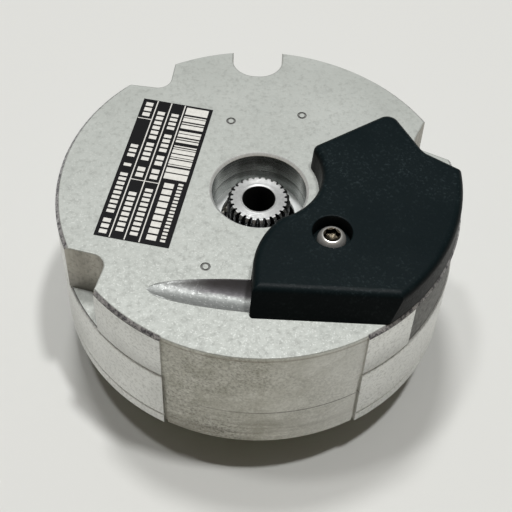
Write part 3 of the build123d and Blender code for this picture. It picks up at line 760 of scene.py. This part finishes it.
CAST_MARKS = ((-5.3, 14.8), (6.6, 16.9), (-7.6, -16.05))
MARK_R = 0.8
MARK_FLOOR = TOP - 0.16
MARK_MIDDLE = TOP - 0.01


def add_marks(sheet):
    """The shallow ring marks in the top plate."""
    profile = [(MARK_R, TOP), (MARK_R - 0.03, MARK_FLOOR), (MARK_R - 0.30, MARK_FLOOR),
               (MARK_R - 0.36, MARK_MIDDLE), (0.0, MARK_MIDDLE)]
    for at in CAST_MARKS:
        # the ring's walls and floor take the dark pocket colour: painted shade in the shallow recess
        sheet.revolve(profile, 32, [SHADED_ROUGH, SHADED_ROUGH, SHADED_ROUGH, SKIN], at)


def add_ledge(sheet):
    """Ring between the rim and the drum: the floor of the notches and the slot."""
    points = [(r * direction(a).x, r * direction(a).y, LEDGE) for a in range(0, 360, 2) for r in (25.0, 32.1)]
    sheet.add(points, [(2 * i, 2 * i + 1, (2 * i + 3) % 360, (2 * i + 2) % 360) for i in range(180)], SKIN)


# (radius, height) of the inside: lower face, rooms for the boards, stepped bore
INSIDE = [(FOOT_R, 0.0), (29.6, 0.0), (29.5, 0.1), (29.5, 4.45), (28.0, 4.45), (28.0, 12.6), (23.6, 12.6),
          (23.6, 20.7), (9.3, 20.7), (9.3, 17.05), (9.15, 16.9), (7.6, 16.9), (7.52, 17.0), (7.52, 20.25),
          (7.53, 20.32), (7.55, 20.36), (7.55, 23.8), (7.6, 23.88), (7.93, 24.24), (BORE_RIM_R, TOP)]
INSIDE_KINDS = [TURNED] * 2 + [INNER] * 9 + [BORE] * 6 + [RIM_CUT] * 2
POSTS = (90, 210, 330)
POST_AT_R = 26.5


def housing():
    sheet = Sheet()
    columns = rim_columns()
    region = {"turned": TURNED, "segment": FRONT, "pocket": SHADED_ROUGH, "notch": NOTCH}

    def rim_kind(i, k):
        here = columns[i][1]
        after = columns[(i + 1) % len(columns)][1]
        kind = "notch" if "notch" in (here, after) else here
        # the thin row at the foot of the top chamfer takes the dark pocket colour: a painted shade line
        if k == FULL and kind == "turned":
            return SHADED_ROUGH
        if k > FULL and kind in ("turned", "pocket"):
            return EDGE if k < FULL + 3 else SKIN
        if k > FULL + 1:
            return SKIN
        return region[kind]

    sheet.grid([c for c, _ in columns], True, rim_kind)
    groove_loop = add_groove(sheet)
    outline = []
    for column, _ in columns:
        p = column[-1]
        if not outline or (Vector(p[:2]) - Vector(outline[-1][:2])).length > 1e-3:
            outline.append(p)
    marks = [circle(MARK_R, at, 32) for at in CAST_MARKS]
    sheet.cap(outline, [circle(BORE_RIM_R, steps=160), groove_loop] + marks, TOP, SKIN)
    add_marks(sheet)
    drum = drum_columns()
    sheet.grid([c for c, _ in drum], True, lambda i, k: drum[i][1])
    add_ledge(sheet)
    sheet.revolve(INSIDE, 160, INSIDE_KINDS)
    for az in POSTS:
        at = direction(az) * POST_AT_R
        sheet.revolve([(1.0, 4.5), (3.0, 4.5), (3.0, 12.5), (1.0, 12.5)], 32, INNER, (at.x, at.y))
    build("housing_casting", sheet, HOUSING_MATERIALS, "stator", 26, ("housing",))


# ---- cable cover

COVER_H = 5.0
COVER_ROUND = 1.3
COVER_ARC_R = 32.2
COVER_BORE_R = 9.6
COVER_LEFT = -0.6
COVER_FRONT = -25.2
SIDE_LEAN = 3
FRONT_LEAN = 23


class Edge:
    """Straight or round piece of the cover's outline, with how far its wall leans inwards."""

    def __init__(self, start, end, lean, centre_r=None, bulge=0):
        self.start = Vector(start)
        self.end = Vector(end)
        self.lean = radians(lean)
        self.centre = None
        if centre_r is not None:
            self.centre, self.r = Vector(centre_r[0]), centre_r[1]
        self.bulge = bulge

    def inset(self, distance):
        """The same piece moved towards the inside of the cover."""
        moved = copy(self)
        if self.centre is None:
            way = (self.end - self.start).normalized()
            inward = Vector((way.y, -way.x))
            moved.start = self.start + inward * distance
            moved.end = self.end + inward * distance
        else:
            moved.r = self.r + self.bulge * distance
        return moved

    def nearest(self, p):
        if self.centre is None:
            way = (self.end - self.start).normalized()
            return self.start + way * (p - self.start).dot(way)
        return self.centre + (p - self.centre).normalized() * self.r

    def offset_at(self, z):
        """How far the leaning, rounded wall stands in from the base outline at a height."""
        low = COVER_H - COVER_ROUND
        if z <= low + COVER_ROUND * sin(self.lean):
            return z * tan(self.lean)
        middle = low * tan(self.lean) + COVER_ROUND / cos(self.lean)
        return middle - sqrt(max(0.0, COVER_ROUND ** 2 - (z - low) ** 2))


def meet(a, b, near):
    """Where two outline pieces cross, next to a point."""
    if a.centre is None and b.centre is None:
        da = a.end - a.start
        db = b.end - b.start
        cross = da.x * db.y - da.y * db.x
        t = ((b.start.x - a.start.x) * db.y - (b.start.y - a.start.y) * db.x) / cross
        return a.start + da * t
    if a.centre is None:
        a, b = b, a
    if b.centre is None:
        way = (b.end - b.start).normalized()
        foot = b.start + way * (a.centre - b.start).dot(way)
        reach = sqrt(max(0.0, a.r ** 2 - (foot - a.centre).length_squared))
        options = (foot + way * reach, foot - way * reach)
    else:
        gap = b.centre - a.centre
        d = gap.length
        x = (a.r ** 2 - b.r ** 2 + d * d) / (2 * d)
        y = sqrt(max(0.0, a.r ** 2 - x * x))
        way = gap / d
        side = Vector((-way.y, way.x))
        base = a.centre + way * x
        options = (base + side * y, base - side * y)
    return min(options, key=lambda p: (p - near).length)


def arc_through(a, b, c):
    """Centre and radius of the circle through three points."""
    a, b, c = Vector(a), Vector(b), Vector(c)
    aa, bb, cc = a.length_squared, b.length_squared, c.length_squared
    d = 2 * (a.x * (b.y - c.y) + b.x * (c.y - a.y) + c.x * (a.y - b.y))
    ux = (aa * (b.y - c.y) + bb * (c.y - a.y) + cc * (a.y - b.y)) / d
    uy = (aa * (c.x - b.x) + bb * (a.x - c.x) + cc * (b.x - a.x)) / d
    centre = Vector((ux, uy))
    return centre, (a - centre).length


def cover_edges():
    """Clockwise outline with the corner radius that follows each piece."""
    front_left = (COVER_LEFT, COVER_FRONT)
    left_top = (COVER_LEFT, -18.2)
    bore_start = tuple(direction(-68.6) * COVER_BORE_R)
    bore_end = tuple(direction(36.5) * COVER_BORE_R)
    rear = (21.2, 14.65)
    bend = (26.3, 5.9)
    rear_right = tuple(direction(4.4) * COVER_ARC_R)
    front_right = (sqrt(COVER_ARC_R ** 2 - COVER_FRONT ** 2), COVER_FRONT)
    side_arc = arc_through(left_top, (0.35, -13.6), bore_start)
    bore_arc = ((0, 0), COVER_BORE_R)
    outer_arc = ((0, 0), COVER_ARC_R)
    return [
        (Edge(front_left, left_top, SIDE_LEAN), 0.35),
        (Edge(left_top, bore_start, SIDE_LEAN, side_arc, -1), 0.5),
        (Edge(bore_start, bore_end, SIDE_LEAN, bore_arc, 1), 1.3),
        (Edge(bore_end, rear, SIDE_LEAN), 2.2),
        (Edge(rear, bend, SIDE_LEAN), -3.0),
        (Edge(bend, rear_right, SIDE_LEAN), 0.9),
        (Edge(rear_right, front_right, SIDE_LEAN, outer_arc, -1), 0.7),
        (Edge(front_right, front_left, FRONT_LEAN), 0.6),
    ]


def sweep(centre, begin, stop):
    """Start angle and signed turn of the shorter way around a centre, in radians."""
    a0 = atan2(begin.y - centre.y, begin.x - centre.x)
    a1 = atan2(stop.y - centre.y, stop.x - centre.x)
    return a0, (a1 - a0 + pi) % (2 * pi) - pi


def edge_points(edge, begin, stop):
    """Points along one piece of the outline, without the last one."""
    points = []
    steps = 14 if edge.centre is None else 30
    for k in range(steps):
        t = k / steps
        if edge.centre is None:
            p = begin.lerp(stop, t)
        else:
            a0, turn = sweep(edge.centre, begin, stop)
            angle = a0 + turn * t
            p = edge.centre + Vector((cos(angle), sin(angle))) * edge.r
        points.append((p.x, p.y))
    return points


def corner_points(centre, begin, stop):
    """Points along a round corner, without the last one."""
    points = []
    steps = 8
    a0, turn = sweep(centre, begin, stop)
    r = (begin - centre).length
    for k in range(steps):
        angle = a0 + turn * k / steps
        points.append((centre.x + r * cos(angle), centre.y + r * sin(angle)))
    return points


def cover_loop(z):
    """Outline of the cover at a height above the top plate, always with the same number of points."""
    raw = cover_edges()
    edges = [edge.inset(edge.offset_at(z)) for edge, _ in raw]
    count = len(edges)
    ends = []
    for i in range(count):
        j = (i + 1) % count
        corner = raw[i][0].end
        radius = raw[i][1]
        inset = max(edge.offset_at(z) for edge in (raw[i][0], raw[j][0]))
        if radius > 0:
            radius = max(radius - inset * 0.8, 0.12)
        else:
            radius = radius - inset
        near = meet(edges[i], edges[j], corner)
        centre = meet(edges[i].inset(radius), edges[j].inset(radius), near)
        ends.append((centre, edges[i].nearest(centre), edges[j].nearest(centre)))
    loop = []
    for i in range(count):
        loop += edge_points(edges[i], ends[i - 1][2], ends[i][1])
        loop += corner_points(*ends[i])
    return loop


COUNTERBORE_AT = (11.35, -12.0)
COUNTERBORE_R = 3.05
COUNTERBORE_LEAD = 0.2
SEAT = TOP + 2.3
SCREW_HOLE_R = 1.4
BASE_GAP = 0.02
TUNNEL_Y = -21.15


def cable_cover():
    low = COVER_H - COVER_ROUND
    heights = [BASE_GAP, 0.8, 2.0, 3.0, low]
    heights += [low + COVER_ROUND * sin(radians(t)) for t in (12, 23, 34, 45, 56, 67, 78, 90)]
    loops = [[(x, y, TOP + z) for x, y in cover_loop(z)] for z in heights]
    sheet = Sheet()
    columns = [[loop[i] for loop in loops] for i in range(len(loops[0]))]
    sheet.grid(columns, True)
    lead = ((COUNTERBORE_LEAD, 5.0), (0.1, 4.97), (0.03, 4.9), (0.0, 4.75))
    rim = [(COUNTERBORE_R + o, TOP + z) for o, z in lead]
    rim += [(COUNTERBORE_R - 0.05, SEAT), (1.45, SEAT), (SCREW_HOLE_R, TOP + 0.2)]
    sheet.revolve(rim, 64, 0, COUNTERBORE_AT)
    top = [(p[0], p[1]) for p in loops[-1]]
    sheet.cap(top, [circle(COUNTERBORE_R + COUNTERBORE_LEAD, COUNTERBORE_AT, 64)], TOP + COVER_H)
    base = [(p[0], p[1]) for p in loops[0]]
    sheet.cap(base, [circle(SCREW_HOLE_R, COUNTERBORE_AT, 64)], TOP + BASE_GAP)
    sheet.revolve([(SCREW_HOLE_R, TOP + 0.2), (SCREW_HOLE_R, TOP + BASE_GAP)], 64, 0, COUNTERBORE_AT)
    cover = build("cable_cover_shell", sheet, ("black_plastic",), "stator", 24,
                  ("cable_cover",))
    tool = new_object("tunnel_tool", tunnel_mesh())
    cut = cover.modifiers.new("tunnel", "BOOLEAN")
    cut.operation = "DIFFERENCE"
    cut.solver = "EXACT"
    cut.object = tool
    dg = bpy.context.evaluated_depsgraph_get()
    solid = bpy.data.meshes.new_from_object(cover.evaluated_get(dg))
    cover.modifiers.clear()
    cover.data = solid
    bpy.data.objects.remove(tool)


def tunnel_mesh():
    """Rounded block that opens the cable's way through the left wall."""
    half, height, r = 2.8, 3.0, 0.9
    steps = 6
    outline = [(-half, -1.0), (half, -1.0)]
    for side, start in ((1, 0), (-1, 90)):
        for i in range(steps + 1):
            angle = radians(start + 90 * i / steps)
            outline.append((side * (half - r) + r * cos(angle), height - r + r * sin(angle)))
    verts = [(x, TUNNEL_Y + y, TOP + z) for x in (-3.0, 5.5) for y, z in outline]
    n = len(outline)
    faces = [tuple(range(n - 1, -1, -1)), tuple(range(n, 2 * n))]
    faces += [(i, (i + 1) % n, n + (i + 1) % n, n + i) for i in range(n)]
    sheet = Sheet()
    sheet.add(verts, faces)
    return new_mesh("tunnel_tool", sheet)


# ---- screw, plate, shaft

SCREW_TURN = 10
RECESS_R = 1.10
RECESS_LOBE = 0.13
# (radius, height over the seat) of the head
SCREW_HEAD = [(0.0, 0.0), (2.17, 0.0), (2.25, 0.1), (2.25, 0.75), (2.2, 1.05), (2.02, 1.45), (1.78, 1.75),
              (1.6, 1.9), (1.48, 1.96), (1.4, 1.97), (1.34, 1.91)]


def lobes(r, depth_r, steps=72):
    """Radii of a six-lobed outline."""
    return [r + depth_r * cos(6 * 2 * pi * i / steps) for i in range(steps)]


def cover_screw():
    x, y = COUNTERBORE_AT
    sheet = Sheet()
    sheet.revolve([(r, SEAT + z) for r, z in SCREW_HEAD], 72, 0, COUNTERBORE_AT)
    rows = []
    recess = lobes(RECESS_R, RECESS_LOBE)
    for i, r in enumerate(recess):
        d = direction(360 * i / len(recess) + SCREW_TURN)
        profile = ((1.34, 1.91), (r + 0.06, 1.88), (r, 1.8), (r * 0.96, 0.95), (0.55, 0.85), (0.0, 0.65))
        rows.append([(x + d.x * q, y + d.y * q, SEAT + z) for q, z in profile])
    sheet.grid(rows, True, 1)
    shank = [(1.25, SEAT), (1.25, TOP - 2.8), (0.9, TOP - 3.0), (0.0, TOP - 3.0)]
    sheet.revolve(shank, 24, 0, COUNTERBORE_AT)
    build("cover_screw_torx", sheet, ("blackened_steel", "recess"), "stator", 30,
          ("cover_screw",))


PLATE_AT = Vector((-16.87, 3.05))
PLATE_TILT = -9.5
PLATE_WIDTH = 12.0
PLATE_LENGTH = 30.4
PLATE_TOP = TOP + 0.085
INK_TOP = TOP + 0.098
INK_FOOT = PLATE_TOP - 0.01
DIVIDERS = (2.50, 4.87, 7.24)
CROSS_LINES = ((0, 0.85), (1, 0.407), (2, 0.407))
# (column, from, to) as shares of the plate's length: rows of plain blocks where a plate has its data
DATA_ROWS = (
    (0, 0.02, 0.12), (0, 0.16, 0.44), (0, 0.49, 0.51), (0, 0.56, 0.65), (0, 0.87, 0.975),
    (1, 0.05, 0.32), (1, 0.43, 0.50), (1, 0.55, 0.68), (1, 0.71, 0.92),
    (2, 0.04, 0.36), (2, 0.43, 0.50), (2, 0.53, 0.60), (2, 0.63, 0.76), (2, 0.80, 0.92),
)
# start and end of each plain bar, as shares of the barred field's length
BARS = (
    (0.0, 0.075), (0.09, 0.15), (0.175, 0.19), (0.20, 0.26), (0.275, 0.29), (0.30, 0.335),
    (0.35, 0.40), (0.41, 0.425), (0.44, 0.455), (0.50, 0.53), (0.545, 0.56), (0.58, 0.62),
    (0.63, 0.66), (0.70, 0.75), (0.765, 0.78), (0.80, 0.85), (0.86, 0.875), (0.90, 1.0),
)


def on_plate(u, v):
    """Point of the nameplate, across and along it from its lower left corner."""
    a = radians(PLATE_TILT)
    p = Vector((u - PLATE_WIDTH / 2, v - PLATE_LENGTH / 2))
    return PLATE_AT.x + p.x * cos(a) - p.y * sin(a), PLATE_AT.y + p.x * sin(a) + p.y * cos(a)


def slab(sheet, u0, v0, u1, v1, z0, z1, kind):
    """Block on the plate between two corners and two heights."""
    corners = [on_plate(u, v) for u, v in ((u0, v0), (u1, v0), (u1, v1), (u0, v1))]
    verts = [(x, y, z0) for x, y in corners] + [(x, y, z1) for x, y in corners]
    faces = [(0, 3, 2, 1), (4, 5, 6, 7), (0, 1, 5, 4), (1, 2, 6, 5), (2, 3, 7, 6), (3, 0, 4, 7)]
    sheet.add(verts, faces, kind)


def ink(sheet, u0, v0, u1, v1):
    slab(sheet, u0, v0, u1, v1, INK_FOOT, INK_TOP, 1)


def blocks(sheet, u0, u1, start, stop, long, gap):
    """Row of plain blocks between two shares of the plate's length."""
    v0 = start * PLATE_LENGTH
    v1 = stop * PLATE_LENGTH
    count = max(1, int((v1 - v0 + gap) / (long + gap)))
    step = (v1 - v0 + gap) / count
    for i in range(count):
        v = v0 + i * step
        ink(sheet, u0, v, u1, v + step - gap)


def nameplate():
    sheet = Sheet()
    slab(sheet, 0, 0, PLATE_WIDTH, PLATE_LENGTH, TOP, PLATE_TOP, 0)
    for u in DIVIDERS:
        ink(sheet, u - 0.09, 0.1, u + 0.09, PLATE_LENGTH - 0.1)
    edges = (0.0,) + DIVIDERS + (PLATE_WIDTH,)
    for column, share in CROSS_LINES:
        v = share * PLATE_LENGTH
        ink(sheet, edges[column] + 0.12, v - 0.08, edges[column + 1] - 0.12, v + 0.08)
    for column, start, stop in DATA_ROWS:
        middle = (edges[column] + edges[column + 1]) / 2
        blocks(sheet, middle - 0.62, middle + 0.62, start, stop, 0.62, 0.36)
    blocks(sheet, 8.1, 9.7, 0.03, 0.42, 0.95, 0.34)
    blocks(sheet, 10.35, 11.15, 0.03, 0.43, 0.42, 0.3)
    bottom, top = 0.45 * PLATE_LENGTH, 0.985 * PLATE_LENGTH
    for start, stop in BARS:
        ink(sheet, 7.62, bottom + (top - bottom) * start, 11.4, bottom + (top - bottom) * stop)
    build("nameplate_film", sheet, ("label_film", "label_white"), "stator", 30, ("nameplate",))


SHAFT_END = 22.04
SERRATION_TEETH = 26
SERRATION_ROOT_R = 4.2
SERRATION_TIP_R = 5.1
SERRATION_LEAD = 0.5
# (share of the pitch, height between root and tip) of one tooth
SERRATION = ((0.0, 1.0), (0.11, 1.0), (0.17, 0.93), (0.26, 0.5), (0.35, 0.08), (0.40, 0.0), (0.60, 0.0),
             (0.65, 0.08), (0.74, 0.5), (0.83, 0.93), (0.89, 1.0))
MOUTH_R = 2.85
HOLE_R = 2.65
# (radius, height) of the hole, the tip, the taper, the collars and the neck
SHAFT_PROFILE = [
    (MOUTH_R, SHAFT_END), (2.7, SHAFT_END - 0.08), (HOLE_R, SHAFT_END - 0.25), (HOLE_R, SHAFT_END - 1.0),
    (HOLE_R, -9.2), (2.75, -9.35), (2.95, -9.5), (3.7, -9.5), (3.78, -9.46), (4.15, -9.1), (4.165, -9.0),
    (4.62, -0.35), (4.66, -0.3), (4.95, -0.3), (5.0, -0.25), (5.0, 3.6), (5.6, 3.6), (5.6, 5.0), (4.5, 6.0),
    (4.5, 12.6),
]
SHAFT_NECK = [(4.5, 14.1), (4.5, 17.1), (4.4, 17.3), (4.2, 17.4)]
# the shaft's kinds of surface, in the order of its material slots
STEEL, HOLE, GAP, FACE, LEAD = range(5)
SHAFT_MATERIALS = ("shaft_steel", "shaft_hole", "tooth_gap_shade", "shaft_face", "tooth_lead_reflection")
PINION_TEETH = 28
PINION_LOW = 12.75
PINION_HIGH = 14.05
PINION_HOLE_R = 4.4
# (share of the pitch, radius) of one tooth
PINION = ((0.0, 5.92), (0.12, 5.9), (0.19, 5.65), (0.24, 5.3), (0.32, 5.12), (0.68, 5.12), (0.76, 5.3),
          (0.81, 5.65), (0.88, 5.9))


def serrated_column(angle, tooth):
    """Profile of the serrated end at one angle; tooth is 1 on a crest and 0 in a gap."""
    d = Vector((cos(angle), sin(angle)))
    r = SERRATION_ROOT_R + (SERRATION_TIP_R - SERRATION_ROOT_R) * tooth
    lead_r = SERRATION_TIP_R - SERRATION_LEAD
    top_r = min(r, lead_r)
    profile = [(SERRATION_ROOT_R, 17.4), (4.3, 17.6), (r * 0.98, 18.2), (r, 18.5)]
    profile.append((r, SHAFT_END - max(0.03, r - lead_r) - 0.02))
    profile.append((top_r - 0.02, SHAFT_END - 0.02))
    profile.append((top_r - 0.07, SHAFT_END))
    return [(d.x * q, d.y * q, z) for q, z in profile]


def serration_kind(i, k):
    """Kind of surface of the serrated end: flanks, lead-in and end face, from below."""
    if k >= 5:
        return FACE
    # the sides below the lead-in are painted near-black: painted shade
    return LEAD if k == 4 else GAP


def shaft():
    sheet = Sheet()
    rows = []
    for tooth in range(SERRATION_TEETH):
        for part, height in SERRATION:
            rows.append(serrated_column(2 * pi * (tooth + part) / SERRATION_TEETH, height))
    sheet.grid(rows, True, serration_kind)
    crown = [(row[-1][0], row[-1][1]) for row in rows]
    sheet.cap(crown, [circle(MOUTH_R)], SHAFT_END, FACE)
    sheet.revolve(SHAFT_PROFILE, 96, [STEEL] + [HOLE] * 3 + [STEEL] * 15)
    sheet.revolve(SHAFT_NECK, 96, STEEL)
    build("taper_shaft_turned", sheet, SHAFT_MATERIALS, "rotor", 28, ("taper_shaft",))


def pinion():
    """The shaft's gear teeth, which drive the turn counter."""
    sheet = Sheet()
    rows = []
    for tooth in range(PINION_TEETH):
        for part, r in PINION:
            angle = 2 * pi * (tooth + part) / PINION_TEETH
            rows.append([(r * cos(angle), r * sin(angle), z) for z in (PINION_LOW, PINION_HIGH)])
    sheet.grid(rows, True)
    for z, k in ((PINION_LOW, 0), (PINION_HIGH, 1)):
        sheet.cap([(row[k][0], row[k][1]) for row in rows], [circle(PINION_HOLE_R, steps=48)], z)
    build("drive_pinion_teeth", sheet, ("shaft_steel",), "rotor", 28)


# ---- floor and lights

FLOOR_SIZE = 2.0
FLOOR_COLOUR = (0.72, 0.725, 0.70)
LAMP_DISTANCE = 1.2
# name, azimuth, elevation, size, power
LAMPS = (
    ("lamp_right", -12, 80, 0.09, 5.6),
    ("lamp_left", 172, 78, 0.11, 2.5),
    ("lamp_rear", 106, 76.5, 0.17, 5.1),
)
SKY_LOW = (0.105, 0.073, 0.038, 1)
SKY_HIGH = (0.15, 0.155, 0.16, 1)
SKY_FROM = 0.15
SKY_LEAN = 0.5
CAMERA_AT = (0.0, -0.1241, 0.1678)
CAMERA_RIGHT = Vector((0.99881, 0.03870, 0.02981))
CAMERA_BACK = Vector((0.0, -0.61029, 0.79218))
CAMERA_LENS = 83.06


def floor():
    size = FLOOR_SIZE
    corners = [(-size, -size, FLOOR_Z), (size, -size, FLOOR_Z), (size, size, FLOOR_Z), (-size, size, FLOOR_Z)]
    mesh = bpy.data.meshes.new("floor")
    mesh.from_pydata(corners, [], [(0, 1, 2, 3)])
    mesh.materials.append(Shader("floor_paper").finish(FLOOR_COLOUR, 0.8, Specular_IOR_Level=0.2))
    obj = new_object("floor", mesh)


def area_light(name, az, el, size, power):
    """Round lamp at an azimuth and elevation, turned to the part."""
    light = bpy.data.lights.new(name, "AREA")
    light.shape = "DISK"
    light.size = size
    light.energy = power
    obj = new_object(name, light)
    a, e = radians(az), radians(el)
    obj.location = Vector((cos(a) * cos(e), sin(a) * cos(e), sin(e))) * LAMP_DISTANCE
    obj.rotation_mode = "QUATERNION"
    obj.rotation_quaternion = (-obj.location).to_track_quat("-Z", "Y")


def sky():
    """Dim surroundings, warm and dark towards the front and below, cooler above and behind."""
    world = bpy.data.worlds.new("studio")
    world.use_nodes = True
    tree = world.node_tree
    background = tree.nodes["Background"]
    coords = tree.nodes.new("ShaderNodeTexCoord")
    split = tree.nodes.new("ShaderNodeSeparateXYZ")
    tree.links.new(coords.outputs["Generated"], split.inputs[0])
    lean = tree.nodes.new("ShaderNodeMath")
    lean.operation = "MULTIPLY_ADD"
    tree.links.new(split.outputs[1], lean.inputs[0])
    lean.inputs[1].default_value = SKY_LEAN
    tree.links.new(split.outputs[2], lean.inputs[2])
    ramp = tree.nodes.new("ShaderNodeValToRGB")
    tree.links.new(lean.outputs[0], ramp.inputs[0])
    low, high = ramp.color_ramp.elements
    low.position, low.color = SKY_FROM, SKY_LOW
    high.position, high.color = 1.0, SKY_HIGH
    tree.links.new(ramp.outputs[0], background.inputs[0])
    background.inputs[1].default_value = 1.0
    bpy.context.scene.world = world


def camera():
    data = bpy.data.cameras.new("camera")
    data.lens = CAMERA_LENS
    data.sensor_width = 36
    data.clip_start = 0.01
    obj = new_object("camera", data)
    up = CAMERA_BACK.cross(CAMERA_RIGHT).normalized()
    right = up.cross(CAMERA_BACK).normalized()
    turn = Matrix((right, up, CAMERA_BACK)).transposed()
    obj.matrix_world = Matrix.Translation(CAMERA_AT) @ turn.to_4x4()
    bpy.context.scene.camera = obj
    bpy.context.scene.view_settings.view_transform = "Standard"


housing()
cable_cover()
cover_screw()
nameplate()
shaft()
pinion()
floor()
for lamp in LAMPS:
    area_light(*lamp)
sky()
camera()
